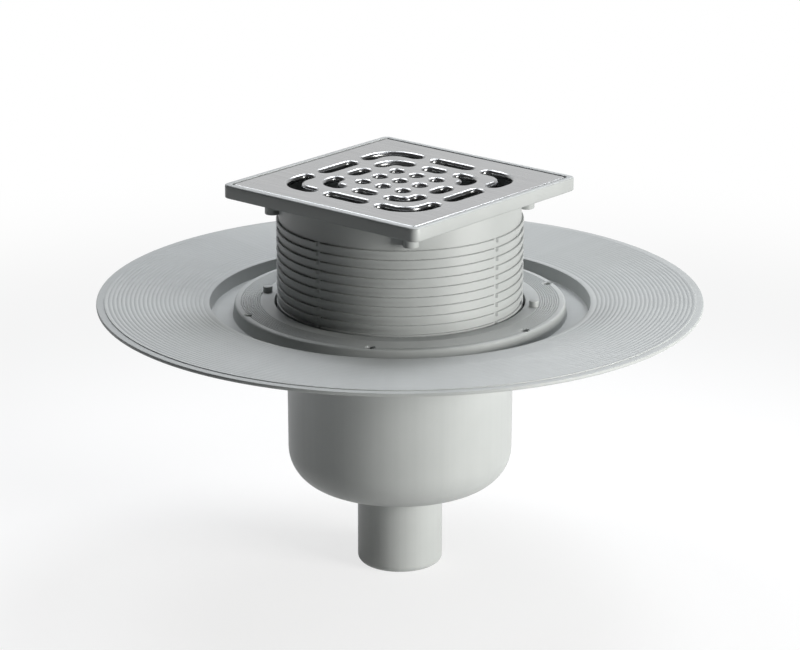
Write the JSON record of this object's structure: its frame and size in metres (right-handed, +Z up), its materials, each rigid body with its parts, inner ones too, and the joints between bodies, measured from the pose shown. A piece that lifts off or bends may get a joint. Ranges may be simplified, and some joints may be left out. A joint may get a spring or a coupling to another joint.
{
  "type": "floor drain",
  "caption": "Floor drain with a vertical outlet spigot, round pot with a bell trap, wide sealing flange, telescopic ribbed riser and a square frame with a slotted steel grate.",
  "frame": {"origin": "centre of the outlet spigot's lower end, on the drain's axis", "axes": "+Z up along the drain's axis, from the outlet to the grate; the frame's sides lie along X and Y"},
  "size_m": [0.3519, 0.352, 0.2332],
  "materials": {
    "body_plastic": "satin moulded polypropylene, light grey",
    "riser_plastic": "satin moulded ABS, light grey",
    "seal_rubber": "black EPDM",
    "grate_steel": "satin stainless sheet with bright rolled slot edges",
    "bell_plastic": "satin moulded polypropylene, grey"
  },
  "bodies": {
    "base": {"drain_body": "body_plastic", "trap_bell": "bell_plastic"},
    "seal": {"riser_seal": "seal_rubber"},
    "top_section": {"riser": "riser_plastic", "grate": "grate_steel"}
  },
  "joints": [
    {"name": "riser_turn", "type": "hinge", "parent": "base", "child": "seal", "pos_m": [0, 0, 0.1528], "axis": [0, 0, 1], "continuous": true},
    {"name": "riser_slide", "type": "slide", "parent": "seal", "child": "top_section", "axis": [0, 0, 1], "range_m": [0, 0.012]}
  ]
}
